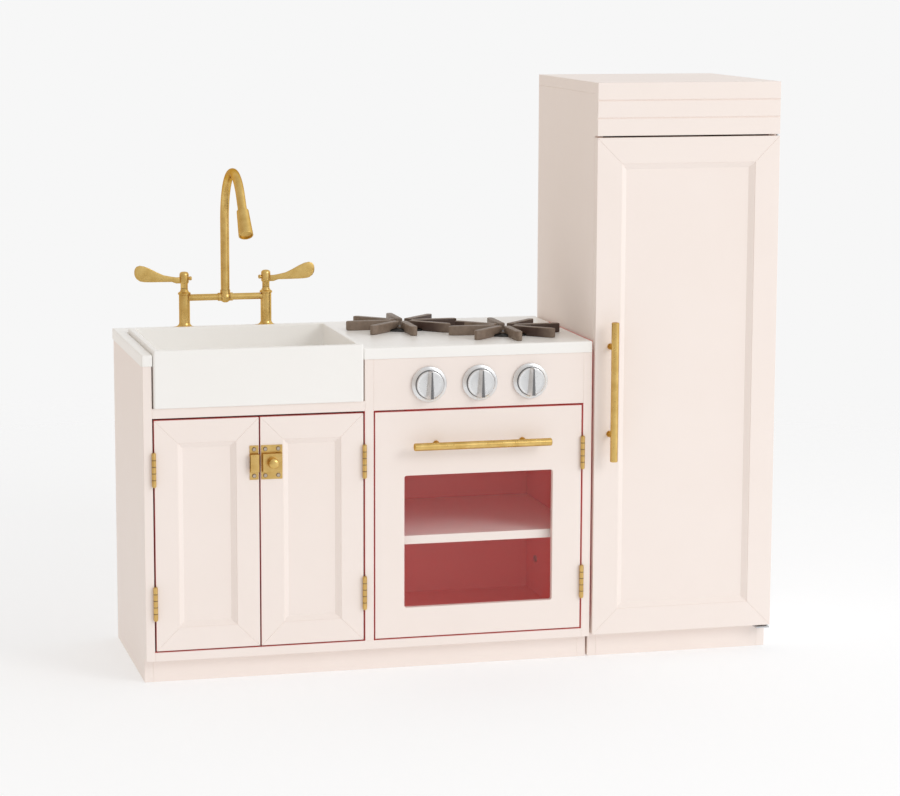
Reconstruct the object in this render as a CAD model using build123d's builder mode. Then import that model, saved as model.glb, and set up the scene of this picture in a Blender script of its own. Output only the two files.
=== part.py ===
"""Toy kitchen: a sink-and-oven unit with a tall fridge unit bolted to its right.

Millimetres, +Z up, front faces towards -Y. The origin is the centre of the
footprint of everything, pulls included, on the floor.
"""

import os
from math import cos, radians, sin

from build123d import *

os.makedirs("parts", exist_ok=True)

# ---------------------------------------------------------------- driving sizes
base_width = 775.0  # sink-and-oven unit
fridge_width = 329.0
unit_gap = 4.0  # between the two units
depth = 354.0
counter_height = 560.0
fridge_height = 1000.0
board = 15.0  # every carcass board
rail = 17.0  # the board under the sink, whose edge shows above the doors
counter_thickness = 19.0
counter_overhang = 2.0
toe_height = 41.0
toe_recess = 24.0
back_thickness = 6.0
back_inset = 2.0
ease = 0.8  # rounding of painted board edges

sink_width = 355.0
sink_room_behind = 61.0  # back of the basin to the back of the unit
sink_height = 97.0
sink_wall = 10.0
sink_proud = 5.0  # apron stands in front of the carcass
sink_side_gap = 2.5
sink_rim = 7.0  # above the worktop

door_thickness = 16.0
hinge_reveal = 3.0  # gap on a hinged edge
free_reveal = 2.5  # gap on the other edges
meeting_gap = 2.5  # between the two sink doors
board_seam = 1.0  # step of the rail above the doors

fridge_door_thickness = 16.0
fridge_proud = 4.0  # fridge door face in front of the base unit
fridge_seam = 1.0  # between door and carcass
header_height = 90.0
top_board = 19.0
fridge_door_bottom = 44.0
header_gap = 3.0

pull_diameter = 13.0
pull_length = 241.0
pull_spacing = 152.0
pull_standoff = 27.0  # door face to bar axis
pull_post_diameter = 8.0

barrel_radius = 3.6
barrel_gap = 0.3  # between a barrel and the leaves beside it
hinge_height = 56.0
knuckles = 5
leaf_thickness = 1.2
leaf_width = 12.0
pin_radius = 1.4
pin_clearance = 0.05
pivot_radius = 2.0  # fridge door pivots
pivot_side = 4.0  # pivot axis to the door's right edge
pivot_back = 12.0  # pivot axis to the door's back
pivot_depth = 12.0  # into the door
pivot_plate = 2.5

knob_spacing = 89.0
knob_height = 495.5
knob_shaft_radius = 3.0
shaft_clearance = 0.06

column_spacing = 146.0
column_radius = 9.5
faucet_back = 32.0  # column axis to the back of the unit
bridge_height = 54.3  # above the worktop
spout_radius = 7.7
spout_bend = 90.0
spout_turn = 142.0
spout_rise = 190.0  # worktop to the start of the bend
spout_straight = 30.0
nozzle_length = 50.0

grate_reach = 100.0
grate_height = 16.5
grate_bar = 12.0
grate_opening = 18.0  # radius of the open centre
burner_radius = 44.0
burner_height = 2.8

# ---------------------------------------------------------------- places
counter_under = counter_height - counter_thickness
pull_reach = pull_standoff + pull_diameter / 2
left = -(base_width + unit_gap + fridge_width - counter_overhang) / 2
front = (fridge_proud + pull_reach - depth) / 2
back = front + depth
right = left + base_width
fridge_left = right + unit_gap
fridge_right = fridge_left + fridge_width
back_face = back - back_inset - back_thickness  # inner face of the back panels

sink_left = left + board + sink_side_gap
sink_right = sink_left + sink_width
divider_left = sink_right + hinge_reveal
divider_right = divider_left + board
right_inner = right - board
floor_top = toe_height + board
sink_bottom = counter_height + sink_rim - sink_height
sink_front = front - sink_proud
sink_back = back - sink_room_behind
sink_length = sink_back - sink_front
sink_mid = (sink_left + sink_right) / 2

door_bottom = floor_top + free_reveal
door_top = sink_bottom - rail - board_seam - free_reveal
rail_bottom = door_top + free_reveal + board_seam

door_l = (left + board + hinge_reveal, sink_mid - meeting_gap / 2)
door_r = (sink_mid + meeting_gap / 2, divider_left - hinge_reveal)
oven_x = (divider_right + free_reveal, right_inner - hinge_reveal)
oven_mid = (oven_x[0] + oven_x[1]) / 2

carcass_front = front - fridge_proud + fridge_door_thickness + fridge_seam
fridge_front = front - fridge_proud
header_bottom = fridge_height - header_height
fridge_door_x = (fridge_left, fridge_right)
fridge_door_z = (fridge_door_bottom, header_bottom - header_gap)

faucet_y = back - faucet_back
column_x = (sink_mid - column_spacing / 2, sink_mid + column_spacing / 2)
counter_top = counter_height

inset_axis_y = front - barrel_radius - 0.2  # barrels stand clear of the doors
axis_left = (left + board + hinge_reveal / 2, inset_axis_y)
axis_right = (divider_left - hinge_reveal / 2, inset_axis_y)
axis_oven = (right_inner - hinge_reveal / 2, inset_axis_y)
axis_fridge = (fridge_right - pivot_side, fridge_front + fridge_door_thickness - pivot_back)
low_hinge = 140.5
high_hinge = 367.5

oven_window_x = (oven_mid - 131.0, oven_mid + 131.0)
oven_window_z = (110.0, 339.0)
oven_pull_z = 392.5
fridge_pull_x = fridge_left + 27.0
fridge_pull_z = 474.0
oven_shelf_z = 216.0
fridge_shelves_z = (335.0, 620.0)

shelf_pin_radius = 2.5
shelf_pin_length = 14.0
shelf_pin_depth = 8.0
shelf_side_gap = 0.6
shelf_setback = 20.0
screw_radius = 1.4
screw_length = 9.0
screw_head = 2.2
knuckle_gap = 0.3
fit = 0.06  # small clearance round screws, pins and spigots
sliver = 0.05  # hairline between glued members

latch_z = 373.0
latch_travel = 9.0
latch_case = (36.0, 58.0)  # plate width and height
latch_box = (33.0, 31.0)
latch_plate = 1.2
latch_box_depth = 10.0
latch_wall = 1.5
latch_left = door_r[0] + 1.0
latch_x = latch_left + latch_case[0] / 2
strike_width = 15.0
strike_right = door_l[1] - 1.0
crank_radius = latch_travel / 2 / sin(radians(45))
crank_pin = 1.5

unit_bolt_places = [(y, z) for y in (front + 60, back - 70) for z in (120.0, 505.0)]
unit_bolt_radius = 3.0


# ---------------------------------------------------------------- shared tools
def export(piece, name):
    """Labels a finished sub-part and writes its STEP file."""
    piece.part.label = name
    export_step(piece.part, f"parts/{name}.step")


def block(x, y, z, mode=Mode.ADD):
    """Adds or cuts a plain block that fills three ranges."""
    with Locations(((x[0] + x[1]) / 2, (y[0] + y[1]) / 2, (z[0] + z[1]) / 2)):
        Box(abs(x[1] - x[0]), abs(y[1] - y[0]), abs(z[1] - z[0]), mode=mode)


def rod(start, end, radius, mode=Mode.ADD):
    """Adds or cuts a round bar between two points."""
    line = Vector(*end) - Vector(*start)
    middle = Vector(*start) + line * 0.5
    with Locations(Plane(origin=middle, z_dir=line)):
        Cylinder(radius, line.length, mode=mode)


def plain_board(x, y, z, rounding=ease):
    """A painted board with all its edges eased."""
    with BuildPart() as piece:
        with BuildSketch(Plane.XY.offset(z[0])):
            with Locations(((x[0] + x[1]) / 2, (y[0] + y[1]) / 2)):
                Rectangle(x[1] - x[0], y[1] - y[0])
        extrude(amount=z[1] - z[0])
        fillet(piece.edges(), rounding)
    return piece


def notched_side(x0, y_front, z_top):
    """An upright whose front bottom corner is cut back for the toe space."""
    with BuildPart() as piece:
        with BuildSketch(Plane.YZ.offset(x0)):
            Polygon(
                (y_front, toe_height),
                (front + toe_recess, toe_height),
                (front + toe_recess, 0),
                (back, 0),
                (back, z_top),
                (y_front, z_top),
                align=None,
            )
        extrude(amount=board)
        fillet(piece.edges(), ease)
    return piece


def framed_door(x, z, face_y, thickness, stile, bevel, recess, panel_thickness):
    """Four mitred members round a flat panel. Returns the frame and the panel."""
    quirk, quirk_depth, rebate, groove, groove_depth = 1.2, 1.0, 8.0, 0.5, 0.6
    width, height = x[1] - x[0], z[1] - z[0]
    centre = ((x[0] + x[1]) / 2, (z[0] + z[1]) / 2)
    face = Plane.XZ.offset(-face_y)
    with BuildPart() as frame:
        with BuildSketch(face):
            with Locations(centre):
                Rectangle(width, height)
        extrude(amount=-thickness)
        fillet(frame.edges(), ease)
        with BuildSketch(face.offset(1)):
            with Locations(centre):
                Rectangle(width - 2 * stile, height - 2 * stile)
        extrude(amount=-thickness - 2, mode=Mode.SUBTRACT)
        step = stile - bevel - quirk
        with BuildSketch(face.offset(1)):
            with Locations(centre):
                Rectangle(width - 2 * step, height - 2 * step)
        extrude(amount=-1 - quirk_depth, mode=Mode.SUBTRACT)
        for depth_in, inset in ((quirk_depth, stile - bevel), (recess, stile)):
            with BuildSketch(face.offset(-depth_in)):
                with Locations(centre):
                    Rectangle(width - 2 * inset, height - 2 * inset)
        loft(mode=Mode.SUBTRACT)
        with BuildSketch(face.offset(-recess)):
            with Locations(centre):
                Rectangle(width - 2 * (stile - rebate), height - 2 * (stile - rebate))
        extrude(amount=recess - thickness - 1, mode=Mode.SUBTRACT)
        for side_x, side_z in ((1, 1), (-1, 1), (-1, -1), (1, -1)):
            corner = Vector(x[0] if side_x > 0 else x[1], face_y, z[0] if side_z > 0 else z[1])
            along = Vector(side_x, 0, side_z).normalized()
            across = Vector(-along.Z, 0, along.X)
            with BuildSketch(Plane(origin=corner - along, x_dir=across, z_dir=along)):
                Polygon(
                    (-groove, 0.01),
                    (groove, 0.01),
                    (sliver / 2, -groove_depth),
                    (sliver / 2, -thickness - 1),
                    (-sliver / 2, -thickness - 1),
                    (-sliver / 2, -groove_depth),
                    align=None,
                )
            extrude(amount=stile * 2, mode=Mode.SUBTRACT)
    edge = stile - rebate + fit
    panel = plain_board(
        (x[0] + edge, x[1] - edge),
        (face_y + recess, face_y + recess + panel_thickness),
        (z[0] + edge, z[1] - edge),
        rounding=0.4,
    )
    return frame, panel


# A hinge is its pin axis (x, y) and which way along X its fixed leaf lies.
leaf_start = barrel_radius + barrel_gap
leaf_middle = leaf_start + leaf_width / 2
hinges = {
    "sink_door_left": (axis_left, -1),
    "sink_door_right": (axis_right, 1),
    "oven_door": (axis_oven, 1),
}


def from_pin(hinge, behind, beside, z=0.0):
    """A point this far behind the pin and this far towards the fixed leaf."""
    (x, y), fixed = hinge
    return (x + fixed * beside, y + behind, z)


def hinge_box(hinge, behind, beside, z):
    """Adds a block given in the hinge's own directions."""
    low, high = from_pin(hinge, behind[0], beside[0]), from_pin(hinge, behind[1], beside[1])
    block((low[0], high[0]), (low[1], high[1]), z)


screw_rows = [height + offset for height in (low_hinge, high_hinge) for offset in (-17.0, 17.0)]


def hinge_pilot_holes(hinge, side):
    """Cuts the screw holes in the wood behind the leaves."""
    for z in screw_rows:
        start = from_pin(hinge, leaf_middle, side * (hinge_reveal / 2 - 1), z)
        end = from_pin(hinge, leaf_middle, side * (hinge_reveal / 2 + screw_length + 0.5), z)
        rod(start, end, screw_radius + fit, mode=Mode.SUBTRACT)


def hinge_leaf_set(hinge, side):
    """Plates, knuckles and screws of one side of a door's hinges."""
    knuckle = hinge_height / knuckles
    own = range(0, knuckles, 2) if side > 0 else range(1, knuckles, 2)
    outer = side * hinge_reveal / 2
    inner = outer - side * leaf_thickness
    for height in (low_hinge, high_hinge):
        bottom = height - hinge_height / 2
        behind, tall = (leaf_start, leaf_start + leaf_width), (bottom, bottom + hinge_height)
        hinge_box(hinge, behind, (inner, outer), tall)
        for index in own:
            low = bottom + index * knuckle + knuckle_gap / 2
            high = bottom + (index + 1) * knuckle - knuckle_gap / 2
            rod(from_pin(hinge, 0, 0, low), from_pin(hinge, 0, 0, high), barrel_radius)
            hinge_box(hinge, (0, leaf_start + 0.5), (inner, outer), (low, high))
        below, above = from_pin(hinge, 0, 0, bottom - 1), from_pin(hinge, 0, 0, bottom + hinge_height + 1)
        rod(below, above, pin_radius + pin_clearance, mode=Mode.SUBTRACT)
    for z in screw_rows:
        face, wood = from_pin(hinge, leaf_middle, inner, z), from_pin(hinge, leaf_middle, outer, z)
        rod(from_pin(hinge, leaf_middle, inner - side, z), from_pin(hinge, leaf_middle, outer + side, z),
            screw_head + fit, mode=Mode.SUBTRACT)
        rod(face, wood, screw_head)
        rod(wood, from_pin(hinge, leaf_middle, outer + side * screw_length, z), screw_radius)


# ---------------------------------------------------------------- base carcass
with BuildPart() as base_side_left:
    add(notched_side(left, front, counter_under).part)
    hinge_pilot_holes(hinges["sink_door_left"], 1)
export(base_side_left, "base_side_left")

oven_pin_z = oven_shelf_z - shelf_pin_radius
pin_rows = (front + shelf_setback + 40, back_face - 40)


def pin_holes(x_face, inward, heights):
    """Cuts shelf pin holes into a board from its inner face."""
    for y in pin_rows:
        for z in heights:
            start = (x_face - inward, y, z)
            end = (x_face + inward * (shelf_pin_depth + 0.3), y, z)
            rod(start, end, shelf_pin_radius + fit, mode=Mode.SUBTRACT)


def unit_bolt_holes(x0, x1):
    """Cuts the holes for the bolts that join the two units."""
    for y, z in unit_bolt_places:
        rod((x0 - 1, y, z), (x1 + 1, y, z), unit_bolt_radius + 0.2, mode=Mode.SUBTRACT)


with BuildPart() as base_side_right:
    add(notched_side(right_inner, front, counter_under).part)
    hinge_pilot_holes(hinges["oven_door"], 1)
    pin_holes(right_inner, 1, (oven_pin_z,))
    unit_bolt_holes(right_inner, right)
export(base_side_right, "base_side_right")

with BuildPart() as base_divider:
    add(plain_board((divider_left, divider_right), (front, back_face), (floor_top, counter_under)).part)
    hinge_pilot_holes(hinges["sink_door_right"], 1)
    pin_holes(divider_right, -1, (oven_pin_z,))
export(base_divider, "base_divider")

base_inside = (left + board, right_inner)
export(plain_board(base_inside, (front, back_face), (toe_height, floor_top)), "base_bottom")
toe_y = (front + toe_recess, front + toe_recess + board)
export(plain_board(base_inside, toe_y, (0, toe_height)), "base_toe_kick")
back_y = (back_face, back_face + back_thickness)
export(plain_board(base_inside, back_y, (toe_height, counter_under)), "base_back")
sink_board_z = (sink_bottom - rail, sink_bottom)
export(plain_board((left + board, divider_left), (front, back_face), sink_board_z), "sink_board")
oven_bay = (divider_right, right_inner)
ceiling_z = (rail_bottom, rail_bottom + board)
export(plain_board(oven_bay, (front + board, back_face), ceiling_z), "oven_ceiling")

knob_places = [oven_mid + offset * knob_spacing for offset in (-1, 0, 1)]
with BuildPart() as control_panel:
    add(plain_board(oven_bay, (front, front + board), (rail_bottom, counter_under)).part)
    for x in knob_places:
        rod(
            (x, front - 1, knob_height),
            (x, front + board + 1, knob_height),
            knob_shaft_radius + shaft_clearance,
            mode=Mode.SUBTRACT,
        )
export(control_panel, "control_panel")

oven_shelf_x = (divider_right + shelf_side_gap, right_inner - shelf_side_gap)
shelf_y = (front + shelf_setback, back_face - 1)
export(plain_board(oven_shelf_x, shelf_y, (oven_shelf_z, oven_shelf_z + board)), "oven_shelf")

# ---------------------------------------------------------------- worktop
cut_gap = 0.7
cut_x = (sink_left - cut_gap, sink_right + cut_gap)
cut_back = sink_back + cut_gap
with BuildPart() as countertop:
    with BuildSketch(Plane.XY.offset(counter_under)) as outline:
        with BuildLine():
            Polyline(
                (left - counter_overhang, front - counter_overhang),
                (cut_x[0], front - counter_overhang),
                (cut_x[0], cut_back),
                (cut_x[1], cut_back),
                (cut_x[1], front - counter_overhang),
                (right, front - counter_overhang),
                (right, back),
                (left - counter_overhang, back),
                close=True,
            )
        make_face()
        fillet(outline.vertices().sort_by(Axis.Y)[:5], 3.0)
    extrude(amount=counter_thickness)
    fillet(countertop.faces().sort_by(Axis.Z)[-1].edges(), 2.5)
    for x in column_x:
        rod((x, faucet_y, counter_under - 1), (x, faucet_y, counter_top + 1), 6.2, mode=Mode.SUBTRACT)
export(countertop, "countertop")

# ---------------------------------------------------------------- sink basin
with BuildPart() as sink_basin:
    with BuildSketch(Plane.XY.offset(sink_bottom)):
        with Locations((sink_mid, (sink_front + sink_back) / 2)):
            RectangleRounded(sink_width, sink_length, 3.5)
    extrude(amount=sink_height)
    fillet(sink_basin.faces().sort_by(Axis.Z)[0].edges(), 2.0)
    with BuildSketch(Plane.XY.offset(sink_bottom + sink_wall)):
        with Locations((sink_mid, (sink_front + sink_back) / 2)):
            RectangleRounded(sink_width - 2 * sink_wall, sink_length - 2 * sink_wall, 9.0)
    extrude(amount=sink_height, mode=Mode.SUBTRACT)
    bowl_floor = sink_basin.faces().filter_by_position(
        Axis.Z, sink_bottom + sink_wall - 0.1, sink_bottom + sink_wall + 0.1
    )
    fillet(bowl_floor.edges(), 6.0)
    fillet(sink_basin.faces().sort_by(Axis.Z)[-1].edges(), 2.2)
export(sink_basin, "sink_basin")


# ---------------------------------------------------------------- faucet
def turned(centre, outline):
    """A part turned about an upright axis from (radius, height) points."""
    x, y, z = centre
    with BuildPart() as piece:
        with BuildSketch(Plane(origin=(x, y, z), x_dir=(1, 0, 0), z_dir=(0, -1, 0))):
            Polygon((0, outline[0][1]), *outline, (0, outline[-1][1]), align=None)
        revolve(axis=Axis((x, y, z), (0, 0, 1)))
    return piece


column_top = 71.0
hub_bottom = column_top + 0.4
hub_height = 29.0
spigot = 10.0
column_outline = [
    (6.0, -30.0),
    (6.0, 0.0),
    (21.5, 0.0),
    (21.5, 1.6),
    (17.0, 2.6),
    (13.0, 4.2),
    (10.6, 6.6),
    (column_radius, 9.6),
    (column_radius, 59.5),
    (column_radius + 1.6, 60.4),
    (column_radius + 1.6, 63.0),
    (column_radius - 1.2, 64.6),
    (6.4, 68.4),
    (6.4, column_top),
]
for side, x in (("left", column_x[0]), ("right", column_x[1])):
    with BuildPart() as column:
        add(turned((x, faucet_y, counter_top), column_outline).part)
        top = counter_top + column_top
        rod((x, faucet_y, top - spigot - 1), (x, faucet_y, top + 1), 3.0 + fit, mode=Mode.SUBTRACT)
    export(column, f"faucet_column_{side}")

with BuildPart() as faucet_nuts:
    for x in column_x:
        with BuildSketch(Plane.XY.offset(counter_under - 6)):
            with Locations((x, faucet_y)):
                RegularPolygon(13.0, 6)
                Circle(6.0 + fit, mode=Mode.SUBTRACT)
        extrude(amount=6)
export(faucet_nuts, "faucet_nuts")

bridge_z = counter_top + bridge_height
spout_base = bridge_z + 12.5
with BuildPart() as faucet_bridge:
    rod((column_x[0], faucet_y, bridge_z), (column_x[1], faucet_y, bridge_z), 5.8)
    with Locations((sink_mid, faucet_y, bridge_z)):
        Sphere(10.3)
    for side in (-1, 1):
        rod((sink_mid + side * 8, faucet_y, bridge_z), (sink_mid + side * 13, faucet_y, bridge_z), 7.2)
    rod((sink_mid, faucet_y, bridge_z), (sink_mid, faucet_y, spout_base - 0.3), 8.8)
    for x in column_x:
        collar = (x, faucet_y, bridge_z + 4)
        rod((x, faucet_y, bridge_z - 20), collar, column_radius + 0.02, mode=Mode.SUBTRACT)
        rod(collar, (x, faucet_y, bridge_z + 20), column_radius + 1.7, mode=Mode.SUBTRACT)
    socket_floor = (sink_mid, faucet_y, spout_base - 9)
    rod(socket_floor, (sink_mid, faucet_y, spout_base + 1), 4.0 + fit, mode=Mode.SUBTRACT)
export(faucet_bridge, "faucet_bridge")

bend_start = (sink_mid, faucet_y, counter_top + spout_rise)
bend_centre = (sink_mid, faucet_y - spout_bend, counter_top + spout_rise)
turn = radians(spout_turn)


def on_bend(angle):
    """A point on the centreline of the spout's bend."""
    return (sink_mid, bend_centre[1] + spout_bend * cos(angle), bend_centre[2] + spout_bend * sin(angle))


bend_end = Vector(*on_bend(turn))
limb = Vector(0, -sin(turn), cos(turn))
nozzle_top = bend_end + limb * spout_straight
with BuildPart() as faucet_spout:
    with BuildLine():
        Line((sink_mid, faucet_y, spout_base), bend_start)
        ThreePointArc(bend_start, on_bend(turn / 2), on_bend(turn))
        Line(bend_end, nozzle_top)
    with BuildSketch(Plane.XY.offset(spout_base)):
        with Locations((sink_mid, faucet_y)):
            Circle(spout_radius)
    sweep()
    rod((sink_mid, faucet_y, spout_base - 8), (sink_mid, faucet_y, spout_base + 1), 4.0)
export(faucet_spout, "faucet_spout")

with BuildPart() as faucet_nozzle:
    with BuildSketch(Plane(origin=nozzle_top, x_dir=(1, 0, 0), z_dir=limb)):
        Circle(10.2)
    with BuildSketch(Plane(origin=nozzle_top + limb * nozzle_length, x_dir=(1, 0, 0), z_dir=limb)):
        Circle(12.6)
    loft()
    fillet(faucet_nozzle.edges(), 0.9)
    mouth = nozzle_top + limb * nozzle_length
    rod(mouth - limb * 2.5, mouth + limb, 10.4, mode=Mode.SUBTRACT)
export(faucet_nozzle, "faucet_nozzle")

hub_outline = [
    (6.4, 0.0),
    (6.4, 8.0),
    (7.6, 9.0),
    (8.2, 11.0),
    (8.2, 24.0),
    (7.4, 26.6),
    (5.0, 28.4),
    (1.5, hub_height),
]
for side, x, way in (("left", column_x[0], -1), ("right", column_x[1], 1)):
    hub_z = counter_top + hub_bottom
    with BuildPart() as lever:
        add(turned((x, faucet_y, hub_z), hub_outline).part)
        rod((x, faucet_y, hub_z - spigot), (x, faucet_y, hub_z + 1), 3.0)
        rod((x, faucet_y, hub_z + 16), (x + way * 22, faucet_y, hub_z + 16.5), 4.2)
        with BuildSketch(Plane.XZ.offset(-faucet_y - 2.0)):
            with BuildLine():
                Spline(
                    (x + way * 8, hub_z + 19.6),
                    (x + way * 34, hub_z + 23.5),
                    (x + way * 60, hub_z + 36.0),
                    (x + way * 78, hub_z + 42.0),
                    (x + way * 88, hub_z + 37.0),
                )
                Spline(
                    (x + way * 88, hub_z + 37.0),
                    (x + way * 85, hub_z + 24.0),
                    (x + way * 68, hub_z + 11.5),
                    (x + way * 36, hub_z + 11.2),
                    (x + way * 8, hub_z + 11.6),
                )
                Line((x + way * 8, hub_z + 11.6), (x + way * 8, hub_z + 19.6))
            make_face()
        extrude(amount=4.0)
        rod((x - way * 13.5, faucet_y, hub_z + 17), (x - way * 4, faucet_y, hub_z + 17), 3.6)
    export(lever, f"faucet_lever_{side}")

# ---------------------------------------------------------------- cooktop
grate_places = {
    "left": (left + 493.5, back - 124.0),
    "right": (left + 653.0, front + 125.0),
}
with BuildPart() as burner_bodies:
    with Locations(*[(x, y, counter_top + burner_height / 2) for x, y in grate_places.values()]):
        Cylinder(burner_radius, burner_height)
    burner_face = counter_top + burner_height
    upper = burner_bodies.faces().filter_by_position(Axis.Z, burner_face - 0.1, burner_face + 0.1)
    fillet(upper.edges(), 0.9)
export(burner_bodies, "burner_bodies")
cap_height = 2.2
with BuildPart() as burner_caps:
    with Locations(*[(x, y, burner_face + cap_height / 2) for x, y in grate_places.values()]):
        Cylinder(9.5, cap_height)
    cap_face = burner_face + cap_height
    fillet(burner_caps.faces().filter_by_position(Axis.Z, cap_face - 0.1, cap_face + 0.1).edges(), 0.8)
export(burner_caps, "burner_caps")

arm_underside = burner_height + 0.8
ring_height = 3.0  # low ring that joins the arms
with BuildPart() as grate_arm:
    with BuildSketch(Plane.XZ.offset(-grate_bar / 2)):
        Polygon(
            (grate_opening, arm_underside),
            (burner_radius + 1.0, arm_underside),
            (burner_radius + 3.0, 0.0),
            (grate_reach, 0.0),
            (grate_reach, grate_height),
            (grate_opening, grate_height),
            align=None,
        )
    extrude(amount=grate_bar)
    ends = grate_arm.faces().sort_by(Axis.X)[-1].edges()
    fillet(ends.filter_by(Axis.Z) + ends.sort_by(Axis.Z)[-1:], 4.2)
for side, (x, y) in grate_places.items():
    with BuildPart() as grate:
        with Locations((x, y, counter_top)):
            with PolarLocations(0, 8):
                add(grate_arm.part)
        with BuildSketch(Plane.XY.offset(counter_top + arm_underside)):
            with Locations((x, y)):
                Circle(grate_opening + 5.0)
                Circle(grate_opening - 1.0, mode=Mode.SUBTRACT)
        extrude(amount=ring_height)
    export(grate, f"burner_grate_{side}")

# ---------------------------------------------------------------- stove knobs
skirt_radius, grip_radius = 30.5, 23.5
for side, x in zip(("left", "middle", "right"), knob_places):
    face = Plane(origin=(x, front - 0.5, knob_height), x_dir=(1, 0, 0), z_dir=(0, -1, 0))
    with BuildPart() as knob:
        with BuildSketch(face):
            Circle(skirt_radius)
        extrude(amount=4.5)
        with BuildSketch(face.offset(4.5)):
            Circle(skirt_radius - 1.5)
        with BuildSketch(face.offset(8.0)):
            Circle(grip_radius + 0.5)
        loft()
        with BuildSketch(face.offset(8.0)):
            Circle(grip_radius)
        extrude(amount=4.0)
        with BuildSketch(face.offset(11.5)):
            Polygon((-10.0, -20.6), (10.0, -20.6), (7.5, 21.5), (-7.5, 21.5), align=None)
        with BuildSketch(face.offset(25.5)):
            Polygon((-2.4, -19.8), (2.4, -19.8), (1.5, 20.6), (-1.5, 20.6), align=None)
        loft()
        rod((x, front - 8.9, knob_height), (x, front + board + 7, knob_height), knob_shaft_radius)
        rod((x, front + board + 0.4, knob_height), (x, front + board + 4.4, knob_height), 8.0)
    export(knob, f"stove_knob_{side}")


# ---------------------------------------------------------------- pulls
def pull(middle, along, door_depth):
    """A round bar on two posts whose studs pass through the door to round nuts."""
    centre, way = Vector(*middle), Vector(*along)
    out = Vector(0, -1, 0)
    bar_mid = centre + out * pull_standoff
    with BuildPart() as piece:
        rod(bar_mid - way * (pull_length / 2), bar_mid + way * (pull_length / 2), pull_diameter / 2)
        chamfer(piece.edges(), 1.0)
        for side in (-1, 1):
            foot = centre + way * (side * pull_spacing / 2)
            with BuildSketch(Plane(origin=foot, z_dir=out)):
                Circle(pull_post_diameter / 2)
            extrude(amount=pull_standoff - pull_diameter / 2 - sliver)
            with BuildSketch(Plane(origin=foot, z_dir=out)):
                Circle(pull_post_diameter / 2 + 1.5)
            extrude(amount=2.0)
            rod(foot, foot - out * (door_depth + 4), 2.0)
            rod(foot - out * door_depth, foot - out * (door_depth + 3), 5.0)
    return piece


def pull_holes(middle, along, door_depth):
    """Cuts the stud holes of a pull through its door."""
    for side in (-1, 1):
        foot = Vector(*middle) + Vector(*along) * (side * pull_spacing / 2)
        rod(foot - Vector(0, 1, 0), foot + Vector(0, door_depth + 1, 0), 2.1, mode=Mode.SUBTRACT)


# ---------------------------------------------------------------- oven door
window_rebate, window_rebate_depth, pane = 10.0, 6.0, 3.0
oven_pull = (oven_mid, front, oven_pull_z)
door_back = front + door_thickness
with BuildPart() as oven_door:
    add(plain_board(oven_x, (front, door_back), (door_bottom, door_top)).part)
    window_size = (oven_window_x[1] - oven_window_x[0], oven_window_z[1] - oven_window_z[0])
    window_centre = (oven_mid, sum(oven_window_z) / 2)
    with BuildSketch(Plane.XZ.offset(1 - front)):
        with Locations(window_centre):
            RectangleRounded(*window_size, 4.0)
    extrude(amount=-door_thickness - 2, mode=Mode.SUBTRACT)
    rim = oven_door.faces().sort_by(Axis.Y)[0].inner_wires()[0].edges()
    fillet(rim, 1.2)
    with BuildSketch(Plane.XZ.offset(-door_back + window_rebate_depth)):
        with Locations(window_centre):
            Rectangle(window_size[0] + 2 * window_rebate, window_size[1] + 2 * window_rebate)
    extrude(amount=-window_rebate_depth - 1, mode=Mode.SUBTRACT)
    hinge_pilot_holes(hinges["oven_door"], -1)
    pull_holes(oven_pull, (1, 0, 0), door_thickness)
export(oven_door, "oven_door")
pane_edge = window_rebate - 0.3
pane_y = (door_back - window_rebate_depth, door_back - window_rebate_depth + pane)
export(
    plain_board(
        (oven_window_x[0] - pane_edge, oven_window_x[1] + pane_edge),
        pane_y,
        (oven_window_z[0] - pane_edge, oven_window_z[1] + pane_edge),
        rounding=0.4,
    ),
    "oven_window",
)
export(pull(oven_pull, (1, 0, 0), door_thickness), "oven_handle")

# ---------------------------------------------------------------- sink doors
sink_stile, sink_bevel, sink_recess, sink_panel = 48.0, 8.5, 6.5, 5.0
door_z = (door_bottom, door_top)
shape = (front, door_thickness, sink_stile, sink_bevel, sink_recess, sink_panel)
case_screws = [(latch_left + u, latch_z + v) for u in (7.0, 29.0) for v in (-22.5, 22.5)]
strike_screws = [(strike_right - strike_width / 2, latch_z + v) for v in (-22.5, 22.5)]


def face_screw_holes(places):
    """Cuts pilot holes into a door from its front."""
    for x, z in places:
        rod((x, front - 1, z), (x, front + screw_length + 0.5, z), screw_radius + fit, mode=Mode.SUBTRACT)


def face_screws(places):
    """Adds round-headed screws that hold a plate to a door's front."""
    for x, z in places:
        rod((x, front - latch_plate - 3, z), (x, front + 0.01, z), 2.0, mode=Mode.SUBTRACT)
        rod((x, front + screw_length, z), (x, front - latch_plate - 0.2, z), screw_radius)
        rod((x, front - latch_plate - sliver, z), (x, front - latch_plate - 1.6, z), 3.3)


left_frame, left_panel = framed_door(door_l, door_z, *shape)
with BuildPart() as sink_door_left_frame:
    add(left_frame.part)
    hinge_pilot_holes(hinges["sink_door_left"], -1)
    face_screw_holes(strike_screws)
export(sink_door_left_frame, "sink_door_left_frame")
export(left_panel, "sink_door_left_panel")
right_frame, right_panel = framed_door(door_r, door_z, *shape)
with BuildPart() as sink_door_right_frame:
    add(right_frame.part)
    hinge_pilot_holes(hinges["sink_door_right"], -1)
    face_screw_holes(case_screws)
export(sink_door_right_frame, "sink_door_right_frame")
export(right_panel, "sink_door_right_panel")

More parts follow.
